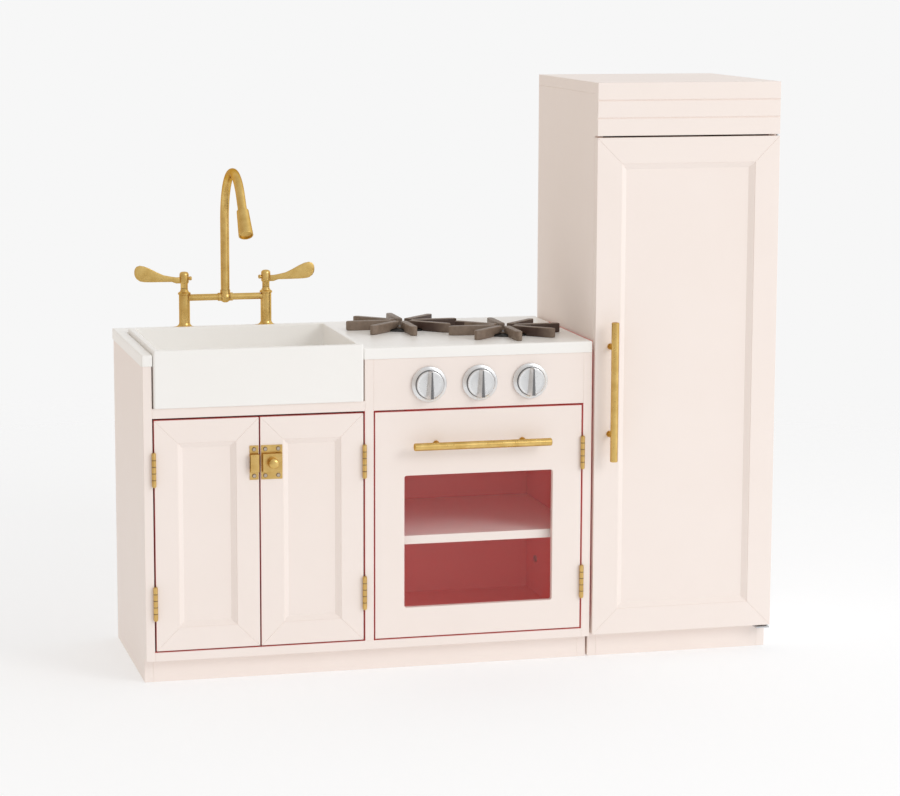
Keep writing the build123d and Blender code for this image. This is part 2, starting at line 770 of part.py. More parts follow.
# ---------------------------------------------------------------- latch
box_x = (latch_x - latch_box[0] / 2, latch_x + latch_box[0] / 2)
box_z = (latch_z - latch_box[1] / 2, latch_z + latch_box[1] / 2)
box_front = front - latch_box_depth
with BuildPart() as latch_case_part:
    plate_x = (latch_left, latch_left + latch_case[0])
    plate_z = (latch_z - latch_case[1] / 2, latch_z + latch_case[1] / 2)
    block(plate_x, (front - latch_plate, front), plate_z)
    block(box_x, (box_front, front), box_z)
    fillet(latch_case_part.edges().filter_by_position(Axis.Y, box_front - 0.1, box_front + 0.1), 0.8)
    inner_y = (box_front + latch_wall, front - latch_plate)
    block(
        (box_x[0] + latch_wall, box_x[1] - latch_wall),
        inner_y,
        (box_z[0] + latch_wall, box_z[1] - latch_wall),
        mode=Mode.SUBTRACT,
    )
    bolt_y = (front - latch_plate - 5.2, front - latch_plate - 0.4)
    block((latch_left - 1, latch_x), (bolt_y[0] - 0.2, bolt_y[1] + 0.2), (latch_z - 6.2, latch_z + 6.2),
          mode=Mode.SUBTRACT)
    rod((latch_x, box_front - 1, latch_z), (latch_x, box_front + latch_wall + 0.5, latch_z), 3.0 + fit,
        mode=Mode.SUBTRACT)
    face_screws(case_screws)
export(latch_case_part, "latch_case")

pin_rest = latch_travel / 2
bolt_left = box_x[0] + 0.3
with BuildPart() as latch_bolt:
    block((bolt_left, latch_x + pin_rest + 4.5), bolt_y, (latch_z - 6, latch_z + 6))
    block((box_x[0] + latch_wall + latch_travel + 0.5, latch_x + pin_rest + 4.5), bolt_y,
          (latch_z - 6, latch_z + crank_radius + crank_pin + 2.5))
    slot = crank_pin + 0.35
    block((latch_x + pin_rest - slot, latch_x + pin_rest + slot), (bolt_y[0] - 1, bolt_y[1] + 1),
          (latch_z + pin_rest - slot, latch_z + crank_radius + slot), mode=Mode.SUBTRACT)
export(latch_bolt, "latch_bolt")

with BuildPart() as latch_knob:
    disc_y = (box_front + latch_wall + 0.2, box_front + latch_wall + 1.4)
    rod((latch_x, box_front - 8, latch_z), (latch_x, disc_y[1], latch_z), 3.0)
    rod((latch_x, disc_y[0], latch_z), (latch_x, disc_y[1], latch_z), 8.6)
    rod((latch_x + pin_rest, disc_y[0], latch_z + pin_rest),
        (latch_x + pin_rest, bolt_y[1] - 0.3, latch_z + pin_rest), crank_pin)
    with BuildSketch(Plane(origin=(latch_x, box_front - 0.4, latch_z), x_dir=(1, 0, 0), z_dir=(0, 0, 1))):
        Polygon((0, 0), (5.2, 0), (4.2, -3.5), (5.6, -5.5), (8.4, -7.5), (8.8, -10.0), (7.6, -12.4),
                (4.4, -13.8), (0, -14.2), align=None)
    revolve(axis=Axis((latch_x, box_front, latch_z), (0, 1, 0)))
export(latch_knob, "latch_knob")

with BuildPart() as latch_strike:
    strike_x = (strike_right - strike_width, strike_right)
    block(strike_x, (front - latch_plate, front), plate_z)
    block(strike_x, (box_front, front), (latch_z - 15, latch_z + 15))
    fillet(latch_strike.edges().filter_by_position(Axis.Y, box_front - 0.1, box_front + 0.1), 0.8)
    bridge_y = (box_front + 1.6, front - latch_plate)
    block((strike_x[0] - 1, strike_x[1] + 1), bridge_y, (latch_z - 9, latch_z + 9), mode=Mode.SUBTRACT)
    face_screws(strike_screws)
export(latch_strike, "latch_strike")

# ---------------------------------------------------------------- fridge carcass
fridge_inside = (fridge_left + board, fridge_right - board)
shelf_pin_heights = [z - shelf_pin_radius for z in fridge_shelves_z]
side_top = fridge_height - top_board
with BuildPart() as fridge_side_left:
    add(notched_side(fridge_left, carcass_front, side_top).part)
    pin_holes(fridge_inside[0], -1, shelf_pin_heights)
    unit_bolt_holes(fridge_left, fridge_inside[0])
export(fridge_side_left, "fridge_side_left")

with BuildPart() as fridge_side_right:
    add(notched_side(fridge_inside[1], carcass_front, side_top).part)
    pin_holes(fridge_inside[1], 1, shelf_pin_heights)
export(fridge_side_right, "fridge_side_right")

fridge_span = (fridge_left, fridge_right)
fridge_bay = (carcass_front, back_face)
export(plain_board(fridge_span, (carcass_front, back), (side_top, fridge_height)), "fridge_top")
export(plain_board(fridge_inside, fridge_bay, (toe_height, floor_top)), "fridge_bottom")
export(plain_board(fridge_inside, toe_y, (0, toe_height)), "fridge_toe_kick")
export(plain_board(fridge_inside, back_y, (toe_height, side_top)), "fridge_back")

with BuildPart() as fridge_header:
    add(plain_board(fridge_span, (fridge_front, carcass_front), (header_bottom, fridge_height)).part)
    for z in (header_bottom + header_height / 3, header_bottom + 2 * header_height / 3):
        with BuildSketch(Plane.YZ.offset(fridge_left - 1)):
            Polygon(
                (fridge_front - 0.1, z - 1.7),
                (fridge_front + 2.0, z),
                (fridge_front - 0.1, z + 1.7),
                align=None,
            )
        extrude(amount=fridge_width + 2, mode=Mode.SUBTRACT)
    rod((*axis_fridge, header_bottom - 1), (*axis_fridge, header_bottom + pivot_depth), pivot_radius + fit,
        mode=Mode.SUBTRACT)
export(fridge_header, "fridge_header")

with BuildPart() as fridge_shelves:
    for z in fridge_shelves_z:
        block(
            (fridge_inside[0] + shelf_side_gap, fridge_inside[1] - shelf_side_gap),
            (carcass_front + shelf_setback, back_face - 1),
            (z, z + board),
        )
    fillet(fridge_shelves.edges(), ease)
export(fridge_shelves, "fridge_shelves")

with BuildPart() as shelf_pins:
    pin_sets = (
        (divider_right, -1, (oven_pin_z,)),
        (right_inner, 1, (oven_pin_z,)),
        (fridge_inside[0], -1, shelf_pin_heights),
        (fridge_inside[1], 1, shelf_pin_heights),
    )
    for x_face, inward, heights in pin_sets:
        for y in pin_rows:
            for z in heights:
                start = (x_face + inward * shelf_pin_depth, y, z)
                end = (x_face + inward * (shelf_pin_depth - shelf_pin_length), y, z)
                rod(start, end, shelf_pin_radius)
export(shelf_pins, "shelf_pins")

with BuildPart() as unit_bolts:
    for y, z in unit_bolt_places:
        rod((right_inner - 3, y, z), (fridge_inside[0] + 3, y, z), unit_bolt_radius)
        rod((right_inner - 3, y, z), (right_inner, y, z), 6.0)
        rod((fridge_inside[0], y, z), (fridge_inside[0] + 3, y, z), 6.0)
    with BuildSketch(Plane.YZ.offset(right)):
        with Locations(*unit_bolt_places):
            Circle(8.0)
            Circle(unit_bolt_radius + 0.2, mode=Mode.SUBTRACT)
    extrude(amount=unit_gap)
export(unit_bolts, "unit_bolts")

# ---------------------------------------------------------------- fridge door
fridge_stile, fridge_bevel, fridge_recess, fridge_panel = 54.0, 9.0, 7.0, 5.0
fridge_pull = (fridge_pull_x, fridge_front, fridge_pull_z)
tall_frame, tall_panel = framed_door(
    fridge_door_x, fridge_door_z, fridge_front, fridge_door_thickness, fridge_stile, fridge_bevel,
    fridge_recess, fridge_panel,
)
with BuildPart() as fridge_door_frame:
    add(tall_frame.part)
    for edge, inside in ((fridge_door_z[0], 1), (fridge_door_z[1], -1)):
        rod((*axis_fridge, edge - inside), (*axis_fridge, edge + inside * (pivot_depth + 0.5)),
            pivot_radius + pin_clearance, mode=Mode.SUBTRACT)
    pull_holes(fridge_pull, (0, 0, 1), fridge_door_thickness)
export(fridge_door_frame, "fridge_door_frame")
export(tall_panel, "fridge_door_panel")
export(pull(fridge_pull, (0, 0, 1), fridge_door_thickness), "fridge_handle")

# ---------------------------------------------------------------- hinges
with BuildPart() as hinge_fixed_leaves:
    for hinge in hinges.values():
        hinge_leaf_set(hinge, 1)
export(hinge_fixed_leaves, "hinge_fixed_leaves")
for name, hinge in hinges.items():
    with BuildPart() as door_leaves:
        hinge_leaf_set(hinge, -1)
    export(door_leaves, f"{name}_hinge_leaves")
with BuildPart() as hinge_pins:
    for hinge in hinges.values():
        for height in (low_hinge, high_hinge):
            low, high = height - hinge_height / 2, height + hinge_height / 2
            rod(from_pin(hinge, 0, 0, low), from_pin(hinge, 0, 0, high), pin_radius)
            rod(from_pin(hinge, 0, 0, high), from_pin(hinge, 0, 0, high + 1.2), 2.6)
            rod(from_pin(hinge, 0, 0, low - 1.2), from_pin(hinge, 0, 0, low), 2.6)
export(hinge_pins, "hinge_pins")

# The fridge door turns on a pin under the header and one on a plate below it.
with BuildPart() as fridge_pivots:
    upper_foot, upper_head = fridge_door_z[1] - pivot_depth, header_bottom + pivot_depth
    rod((*axis_fridge, upper_foot), (*axis_fridge, upper_head), pivot_radius)
    block((fridge_inside[1] - 10, fridge_right - 1), (fridge_front + 0.5, front + toe_recess - 1),
          (toe_height - pivot_plate, toe_height))
    rod((*axis_fridge, toe_height - 0.5), (*axis_fridge, fridge_door_z[0] + pivot_depth), pivot_radius)
export(fridge_pivots, "fridge_pivots")

# ---------------------------------------------------------------- catches
catch_depth, catch_gap, catch_plate = 14.0, 0.4, 1.2
oven_catch_x = (oven_x[0] + 14, oven_x[0] + 54)
oven_catch_z = (door_top - 14, ceiling_z[0])
fridge_back_y = fridge_front + fridge_door_thickness
fridge_catch_x = (fridge_inside[0], fridge_inside[0] + 13)
fridge_catch_z = (fridge_pull_z - 20, fridge_pull_z + 20)
with BuildPart() as magnet_catches:
    y0 = door_back + catch_plate + catch_gap
    block(oven_catch_x, (y0, y0 + catch_depth), oven_catch_z)
    y0 = fridge_back_y + catch_plate + catch_gap
    block(fridge_catch_x, (y0, y0 + catch_depth), fridge_catch_z)
export(magnet_catches, "magnet_catches")
export(
    plain_board(oven_catch_x, (door_back, door_back + catch_plate), (door_top - 13, door_top - 1),
                rounding=0.3),
    "oven_catch_plate",
)
export(
    plain_board((fridge_catch_x[0] + 1, fridge_catch_x[1]), (fridge_back_y, fridge_back_y + catch_plate),
                fridge_catch_z, rounding=0.3),
    "fridge_catch_plate",
)
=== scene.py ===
import bpy
from math import pi, radians
from mathutils import Matrix, Vector


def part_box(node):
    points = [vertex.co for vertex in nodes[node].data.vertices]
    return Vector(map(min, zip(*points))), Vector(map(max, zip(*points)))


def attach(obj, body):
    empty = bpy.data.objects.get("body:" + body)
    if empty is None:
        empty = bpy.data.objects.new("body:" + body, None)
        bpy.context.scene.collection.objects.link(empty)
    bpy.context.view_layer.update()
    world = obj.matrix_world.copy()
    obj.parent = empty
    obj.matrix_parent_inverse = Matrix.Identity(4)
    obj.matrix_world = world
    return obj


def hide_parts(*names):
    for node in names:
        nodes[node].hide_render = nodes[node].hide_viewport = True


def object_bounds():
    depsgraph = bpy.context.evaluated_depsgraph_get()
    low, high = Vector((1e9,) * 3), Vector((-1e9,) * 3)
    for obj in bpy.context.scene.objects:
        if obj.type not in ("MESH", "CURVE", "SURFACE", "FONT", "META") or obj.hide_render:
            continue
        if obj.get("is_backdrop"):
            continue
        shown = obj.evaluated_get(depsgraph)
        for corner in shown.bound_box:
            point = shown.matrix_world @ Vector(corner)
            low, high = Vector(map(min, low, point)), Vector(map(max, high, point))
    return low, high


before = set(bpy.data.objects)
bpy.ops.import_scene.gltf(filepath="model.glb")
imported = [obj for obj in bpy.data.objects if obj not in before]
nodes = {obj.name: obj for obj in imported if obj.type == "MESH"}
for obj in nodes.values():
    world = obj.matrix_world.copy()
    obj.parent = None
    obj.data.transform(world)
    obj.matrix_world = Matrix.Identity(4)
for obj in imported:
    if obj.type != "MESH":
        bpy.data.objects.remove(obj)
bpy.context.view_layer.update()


# ------------------------------------------------------------------ painted boards
# The carcass is two boxes of butted boards, bolted side by side, with a sprayed
# satin paint in a pale blush. Inside the cupboards and in the seam between the
# boxes a deep rose is painted in: painted shade, for the reddened light that
# bounces between the pink walls.
class Value:
    """A number in a tree of nodes, so that a mask reads as a sum."""

    def __init__(self, tree, socket):
        self.tree, self.socket = tree, socket

    def maths(self, kind, first, second):
        return Value(self.tree, self.tree.add("Math", {"operation": kind}, {0: first, 1: second})[0])

    def __add__(self, other):
        return self.maths("ADD", self, other)

    def __sub__(self, other):
        return self.maths("SUBTRACT", self, other)

    def __rsub__(self, other):
        return self.maths("SUBTRACT", other, self)

    def __mul__(self, other):
        return self.maths("MULTIPLY", self, other)

    def __gt__(self, other):
        return self.maths("GREATER_THAN", self, other)

    def __lt__(self, other):
        return self.maths("LESS_THAN", self, other)

    def __or__(self, other):
        return self.maths("MAXIMUM", self, other)

    __radd__, __rmul__ = __add__, __mul__

    def ramp(self, low, high):
        """0 at low, 1 at high, held outside."""
        limits = {"From Min": low, "From Max": high, "Value": self}
        return Value(self.tree, self.tree.add("MapRange", {}, limits)[0])


def either(masks):
    """1 where any of the masks is."""
    first, *others = masks
    for other in others:
        first = first | other
    return first


class Tree:
    """The nodes of a finish or of the surroundings, all added by one method."""

    def __init__(self, tree):
        self.tree = tree

    def add(self, kind, settings, sockets):
        """Adds a node: its settings first, then the values or links of its sockets."""
        node = self.tree.nodes.new("ShaderNode" + kind)
        for name, setting in settings.items():
            setattr(node, name, setting)
        for place, item in sockets.items():
            self.join(item, node.inputs[place])
        return node.outputs

    def join(self, item, place):
        """Links a socket or sets its value. A colour gets its alpha here."""
        if isinstance(item, Value):
            item = item.socket
        if isinstance(item, bpy.types.NodeSocket):
            self.tree.links.new(item, place)
        elif isinstance(item, tuple):
            place.default_value = (*item, 1)
        else:
            place.default_value = item

    def colours(self, factor, first, second):
        return self.add("Mix", {"data_type": "RGBA"}, {0: factor, 6: first, 7: second})[2]


class Finish(Tree):
    """A material being built: its shader, its place on the piece and its noise."""

    def __init__(self, name, colour, roughness, metallic=0.0):
        self.material = bpy.data.materials.new(name)
        self.material.use_nodes = True
        super().__init__(self.material.node_tree)
        self.shader = self.tree.nodes["Principled BSDF"]
        self.feed("Base Color", colour)
        self.feed("Roughness", roughness)
        self.feed("Metallic", metallic)
        self.place = self.add("TexCoord", {}, {})["Object"]
        self.x, self.y, self.z = (Value(self, out) for out in self.add("SeparateXYZ", {}, {0: self.place}))

    def feed(self, name, item):
        self.join(item, self.shader.inputs[name])

    def noise(self, scale, detail=2.0):
        sockets = {"Scale": scale, "Detail": detail, "Vector": self.place}
        return Value(self, self.add("TexNoise", {}, sockets)[0])

    def box(self, low, high):
        """1 inside a block, 0 outside."""
        inside = (self.x > low[0]) * (self.x < high[0]) * (self.y > low[1]) * (self.y < high[1])
        return inside * (self.z > low[2]) * (self.z < high[2])

    def rubbed_and_lit_edges(self, radius=0.0010):
        """1 along sharp edges, broken up by a noise: partly where a finish rubs thin, partly a painted
        highlight.
        """
        soft = self.add("Bevel", {"samples": 4}, {"Radius": radius})[0]
        true = self.add("NewGeometry", {}, {})["Normal"]
        turn = self.add("VectorMath", {"operation": "DOT_PRODUCT"}, {0: soft, 1: true})["Value"]
        edge = (1.0 - Value(self, turn)).ramp(0.02, 0.30)
        return edge * self.noise(70.0, 3.0).ramp(0.30, 0.62)

    def toned(self, first, second, scale, rubbed_and_lit, amount):
        """A colour that drifts between two, with a third along sharp edges: partly rubbed wear, partly a
        painted highlight.
        """
        drift = self.colours(self.noise(scale, 3.0).ramp(0.32, 0.70), first, second)
        return self.colours(self.rubbed_and_lit_edges() * amount, drift, rubbed_and_lit)

    def sheen(self, scale, least, spread, detail=2.0, low=0.2, high=0.8):
        """Lets the roughness drift up from its least by a noise."""
        self.feed("Roughness", self.noise(scale, detail).ramp(low, high) * spread + least)

    def grain(self, scale, depth, detail=1.0):
        """A fine unevenness of the surface."""
        sockets = {"Distance": depth, "Height": self.noise(scale, detail)}
        self.feed("Normal", self.add("Bump", {}, sockets)[0])


def finish_node(name, finish):
    """Puts a finish on a CAD node's own slots."""
    mesh = nodes[name].data
    mesh.materials.clear()
    mesh.materials.append(finish.material)


blush = (0.905, 0.815, 0.765)
blush_light = (0.915, 0.828, 0.780)
# edge colour: partly rubbed wear, partly a painted highlight
blush_rubbed_and_lit = (0.96, 0.90, 0.86)
# painted shade: a deep rose for the light that bounces between pink walls
rose_shade = (0.97, 0.38, 0.365)
skin = 0.0009  # how far a mask reaches into a board, so that its face is wholly inside
lip = 0.0015  # the front arris of a board, which stays blush
left_board_low, left_board_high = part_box("base_side_left")
divider_low, divider_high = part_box("base_divider")
right_low, right_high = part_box("base_side_right")
fridge_low, fridge_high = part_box("fridge_side_left")
far_low, far_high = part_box("fridge_side_right")
front, back_face = left_board_low.y, divider_high.y
base_floor, fridge_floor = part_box("base_bottom")[1].z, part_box("fridge_bottom")[1].z
oven_top, cupboard_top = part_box("oven_ceiling")[0].z + 0.0035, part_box("sink_board")[0].z + 0.0020
seam_foot, seam_back = 0.075, 0.12

paint = Finish("blush_paint", blush, 0.42)
oven_inside = paint.box(
    (divider_high.x - skin, front + lip, base_floor - skin),
    (right_low.x + skin, back_face + skin, oven_top),
)
cupboard_inside = paint.box(
    (left_board_high.x - skin, front + lip, base_floor - skin),
    (divider_low.x + skin, back_face + skin, cupboard_top + skin),
)
fridge_inside = paint.box(
    (fridge_high.x - skin, fridge_low.y + 0.0005, fridge_floor - skin),
    (far_low.x + skin, back_face + skin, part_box("fridge_top")[0].z + skin),
)
unit_seam = paint.box(
    (right_high.x - skin, front + 0.004, seam_foot),
    (fridge_low.x + skin, seam_back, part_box("countertop")[1].z - lip),
)
# painted shade: the insides of the boxes and the seam between them take the deep rose
bounce_shade = either([oven_inside, cupboard_inside, fridge_inside, unit_seam])
paint_tone = paint.toned(blush, blush_light, 9.0, blush_rubbed_and_lit, 0.45)
paint.feed("Base Color", paint.colours(bounce_shade, paint_tone, rose_shade))
paint.feed("Specular IOR Level", 0.35)
paint.sheen(40.0, 0.38, 0.08, low=0.0, high=1.0)
paint.grain(900.0, 0.00002)
for name in (
    "base_side_left", "base_side_right", "base_divider", "base_bottom", "base_toe_kick", "base_back",
    "sink_board", "control_panel", "oven_ceiling", "fridge_side_left", "fridge_side_right", "fridge_top",
    "fridge_bottom", "fridge_toe_kick", "fridge_back", "fridge_header", "fridge_shelves",
):
    finish_node(name, paint)

# ------------------------------------------------------------------ doors
# The sink's two doors and the fridge's are frames with a loose panel, and the
# oven's is one plain board, all in the same paint. The three in the base have a
# duller rose painted on their outer edges: painted shade, down in the narrow gaps.
# painted shade: the rose of the narrow gaps round the base's doors
edge_rose_shade = (0.86, 0.36, 0.345)
edge_deep = 0.003

door_paint = Finish("door_paint", blush, 0.42)
door_edge_shade = []
for name in ("sink_door_left_frame", "sink_door_right_frame", "oven_door"):
    low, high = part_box(name)
    whole = door_paint.box(
        (low.x - skin, low.y + 0.0016, low.z - skin), (high.x + skin, high.y - skin, high.z + skin)
    )
    inner = door_paint.box(
        (low.x + edge_deep, low.y - skin, low.z + edge_deep),
        (high.x - edge_deep, high.y + skin, high.z - edge_deep),
    )
    door_edge_shade.append(whole - whole * inner)
door_tone = door_paint.toned(blush, blush_light, 9.0, blush_rubbed_and_lit, 0.45)
# painted shade: a duller rose on the doors' outer edges, in the gaps
door_paint.feed("Base Color", door_paint.colours(either(door_edge_shade), door_tone, edge_rose_shade))
door_paint.feed("Specular IOR Level", 0.35)
door_paint.sheen(40.0, 0.38, 0.08, low=0.0, high=1.0)
door_paint.grain(900.0, 0.00002)
for name in (
    "sink_door_left_frame", "sink_door_left_panel", "sink_door_right_frame", "sink_door_right_panel",
    "oven_door", "fridge_door_frame", "fridge_door_panel",
):
    finish_node(name, door_paint)

# ------------------------------------------------------------------ oven shelf
# One loose board that lies on four pins, with a blush front edge. The rest of it
# is a pinker blush, paler than the oven's walls: painted shade for the rosy light
# inside the oven.
# painted shade: the flat colour is a deep rose for the light inside the oven
shelf_paint = Finish("shelf_paint", (0.80, 0.56, 0.55), 0.45)
shelf_edge = shelf_paint.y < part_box("oven_shelf")[0].y + lip
# painted shade: the board behind its front edge is pinker, for the rosy light inside
shelf_paint.feed("Base Color", shelf_paint.colours(shelf_edge, (0.94, 0.80, 0.78), (0.91, 0.83, 0.78)))
shelf_paint.sheen(40.0, 0.40, 0.08, low=0.0, high=1.0)
shelf_paint.grain(900.0, 0.00002)
finish_node("oven_shelf", shelf_paint)

# ------------------------------------------------------------------ worktop and sink
# A white painted board lies on the base, cut out for a white moulded basin. The
# basin stands on a board of its own and shows its apron at the front.
top_white = Finish("top_white", (0.925, 0.915, 0.89), 0.33)
top_white.feed("Base Color", top_white.toned(
    (0.925, 0.915, 0.89), (0.935, 0.925, 0.902), 7.0, (0.96, 0.955, 0.94), 0.5
))
top_white.sheen(30.0, 0.28, 0.08, low=0.0, high=1.0)
top_white.grain(700.0, 0.00002)
finish_node("countertop", top_white)

basin_white = Finish("basin_white", (0.92, 0.912, 0.89), 0.36)
basin_white.feed("Base Color", basin_white.toned(
    (0.915, 0.905, 0.882), (0.925, 0.918, 0.897), 6.0, (0.95, 0.945, 0.93), 0.5
))
basin_white.sheen(25.0, 0.30, 0.1, low=0.0, high=1.0)
basin_white.grain(500.0, 0.00003)
finish_node("sink_basin", basin_white)

# ------------------------------------------------------------------ brass
# The faucet, the two pulls and the latch's bolt and knob are turned and bent
# metal with a satin brass plating.
dull_brass = (0.62, 0.40, 0.13)
bright_brass = (0.74, 0.51, 0.19)
# edge colour: partly rubbed wear, partly a painted highlight
brass_rubbed_and_lit = (0.86, 0.64, 0.30)


def plate(finish, dull, bright, rubbed_and_lit, least):
    """Gives a finish the sheen of satin brass, and returns the colour of its plating."""
    finish.feed("Specular Tint", (0.62, 0.42, 0.22))
    finish.sheen(150.0, least, 0.12, detail=3.0)
    finish.grain(1600.0, 0.00001)
    return finish.toned(dull, bright, 60.0, rubbed_and_lit, 0.7)


brass = Finish("satin_brass", (0.68, 0.44, 0.13), 0.3, 1.0)
brass.feed("Base Color", plate(brass, (0.64, 0.42, 0.13), (0.78, 0.55, 0.20), (0.88, 0.66, 0.30), 0.24))
for name in (
    "faucet_column_left", "faucet_column_right", "faucet_bridge", "faucet_spout", "faucet_nozzle",
    "faucet_lever_left", "faucet_lever_right", "latch_bolt", "latch_knob", "oven_handle", "fridge_handle",
):
    finish_node(name, brass)

# ------------------------------------------------------------------ hinges
# Brass butt hinges of five knuckles on a headed pin, with one leaf on the door and
# one on the carcass. Dirt settles in the joints between the knuckles.
hinge_tall, knuckles = 0.056, 5
pin_head = 0.0012
joint_half = 0.0007
hinge_low, hinge_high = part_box("hinge_pins")

hinge_brass = Finish("hinge_brass", dull_brass, 0.3, 1.0)
joint_lines = []
for foot in (hinge_low.z + pin_head, hinge_high.z - pin_head - hinge_tall):
    for knuckle in range(1, knuckles):
        height = foot + knuckle * hinge_tall / knuckles
        joint_lines.append((hinge_brass.z > height - joint_half) * (hinge_brass.z < height + joint_half))
plated = plate(hinge_brass, dull_brass, bright_brass, brass_rubbed_and_lit, 0.26)
hinge_brass.feed("Base Color", hinge_brass.colours(either(joint_lines), plated, (0.22, 0.11, 0.05)))
for name in (
    "hinge_fixed_leaves", "hinge_pins", "sink_door_left_hinge_leaves", "sink_door_right_hinge_leaves",
    "oven_door_hinge_leaves",
):
    finish_node(name, hinge_brass)

# ------------------------------------------------------------------ latch case
# A pressed brass case and strike, each held to its door by round-headed screws
# of paler steel.
def off_axis(finish, x, z):
    """The square of the distance from a line that runs from front to back."""
    across, up = finish.x - x, finish.z - z
    return across * across + up * up


screw_radius, screw_rim_radius = 0.0027, 0.0037
screw_inset = 0.007  # from the case's sides
screw_rise = 0.0225  # above and below the middle
case_low, case_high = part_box("latch_case")
strike_low, strike_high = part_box("latch_strike")
latch_z = (case_low.z + case_high.z) / 2

latch_brass = Finish("latch_brass", dull_brass, 0.3, 1.0)
heads, rims = [], []
for x in (case_low.x + screw_inset, case_high.x - screw_inset, (strike_low.x + strike_high.x) / 2):
    for z in (latch_z - screw_rise, latch_z + screw_rise):
        reach = off_axis(latch_brass, x, z)
        heads.append(reach < screw_radius * screw_radius)
        rims.append(reach < screw_rim_radius * screw_rim_radius)
pressed = plate(latch_brass, dull_brass, bright_brass, brass_rubbed_and_lit, 0.24)
rimmed = latch_brass.colours(either(rims), pressed, (0.26, 0.16, 0.09))
latch_brass.feed("Base Color", latch_brass.colours(either(heads), rimmed, (0.52, 0.44, 0.36)))
finish_node("latch_case", latch_brass)
finish_node("latch_strike", latch_brass)

# ------------------------------------------------------------------ stove knobs
# Three cast knobs with a satin silver plating: a round skirt, a drum and a ridge
# that narrows to a crest, each turning on a shaft through the panel. The crest is
# painted near black as a painted reflection, and the groove round the drum darker
# as painted shade.
def pick_piece(piece):
    """Selects one piece and nothing else."""
    bpy.ops.object.select_all(action="DESELECT")
    bpy.context.view_layer.objects.active = piece
    piece.select_set(True)


def add_block(name, low, high):
    """A cube primitive brought to a size and place."""
    bpy.ops.object.select_all(action="DESELECT")
    middle = (Vector(low) + Vector(high)) / 2
    bpy.ops.mesh.primitive_cube_add(size=1, location=middle, scale=Vector(high) - Vector(low))
    bpy.ops.object.transform_apply(location=True, rotation=True, scale=True)
    bpy.context.object.name = name
    return bpy.context.object


def pick_faces(piece, test):
    """Opens a piece in edit mode with just the faces that pass."""
    bpy.ops.object.mode_set(mode="OBJECT")
    pick_piece(piece)
    bpy.context.tool_settings.mesh_select_mode = (False, False, True)
    for group in (piece.data.vertices, piece.data.edges):
        for item in group:
            item.select = False
    for face in piece.data.polygons:
        face.select = test(face)
    bpy.ops.object.mode_set(mode="EDIT")


def copy_of(piece, name):
    """A copy with its own mesh, open in edit mode with all of it selected."""
    pick_piece(piece)
    bpy.ops.object.duplicate()
    copy = bpy.context.object
    copy.name = name
    pick_faces(copy, lambda face: True)
    return copy


def push(offset, grow=(1, 1, 1), centre=(0, 0, 0)):
    """Extrudes the chosen faces and scales the new ones about a point."""
    bpy.ops.mesh.extrude_region_move(TRANSFORM_OT_translate={"value": offset})
    bpy.ops.transform.resize(value=grow, center_override=centre)


def turned(name, foot, out, outline, sides):
    """A cylinder whose end is pushed and scaled from one (radius, height) to the next."""
    foot, out = Vector(foot), Vector(out)
    (first, start), (radius, height) = outline[0], outline[1]
    bpy.ops.object.select_all(action="DESELECT")
    bpy.ops.mesh.primitive_cylinder_add(
        vertices=sides, radius=first, depth=height - start, location=foot + out * (start + height) / 2,
        rotation=out.to_track_quat("Z", "Y").to_euler(),
    )
    bpy.ops.object.transform_apply(location=True, rotation=True, scale=True)
    piece = bpy.context.object
    piece.name = name
    pick_faces(piece, lambda face: face.normal.dot(out) > 0.99)
    bpy.ops.transform.resize(value=(radius / first,) * 3, center_override=foot + out * height)
    for wide, tall in outline[2:]:
        push(out * (tall - height), (wide / radius,) * 3, foot + out * tall)
        radius, height = wide, tall
    bpy.ops.object.mode_set(mode="OBJECT")
    return piece


def round_edges(piece, width, segments=2, angle=35):
    """Softens the sharp edges and shades the rest smooth."""
    pick_piece(piece)
    bpy.ops.object.modifier_add(type="BEVEL")
    bevel = piece.modifiers[-1]
    bevel.width, bevel.segments, bevel.limit_method = width, segments, "ANGLE"
    bevel.angle_limit = radians(angle)
    bpy.ops.object.modifier_apply(modifier=bevel.name)
    bpy.ops.object.shade_smooth_by_angle(angle=radians(angle))


def joined(name, *pieces):
    """Makes one piece of several."""
    pick_piece(pieces[0])
    for piece in pieces:
        piece.select_set(True)
    bpy.ops.object.join()
    pieces[0].name = name
    return pieces[0]


knob_names = ("stove_knob_left", "stove_knob_middle", "stove_knob_right")
knob_low, knob_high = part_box("stove_knob_left")
out_front = Vector((0, -1, 0))
hub = Vector(((knob_low.x + knob_high.x) / 2, front - 0.0005, (knob_low.z + knob_high.z) / 2))
# the groove's ring is painted darker as painted shade
ring_inner, ring_outer = 0.0234, 0.0250  # the dark groove between skirt and drum
ridge_half, ridge_foot, ridge_top = 0.0085, 0.0085, 0.0125

silver = Finish("satin_silver", (0.80, 0.805, 0.81), 0.3, 0.9)
# painted reflection on the crest, painted shade in each groove
crest_and_groove_painted_dark = [silver.y < knob_low.y + 0.0006]
for name in knob_names:
    low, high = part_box(name)
    reach = off_axis(silver, (low.x + high.x) / 2, hub.z)
    groove = (reach > ring_inner * ring_inner) * (reach < ring_outer * ring_outer)
    crest_and_groove_painted_dark.append(groove * (silver.y < front - 0.0060) * 0.65)
plating = silver.toned((0.76, 0.765, 0.775), (0.83, 0.835, 0.84), 45.0, (0.90, 0.90, 0.90), 0.7)
# painted reflection and painted shade: crest and grooves go dark grey
silver.feed("Base Color", silver.colours(either(crest_and_groove_painted_dark), plating, (0.20, 0.20, 0.205)))
silver.sheen(160.0, 0.24, 0.12, detail=3.0)
silver.grain(1200.0, 0.00001)

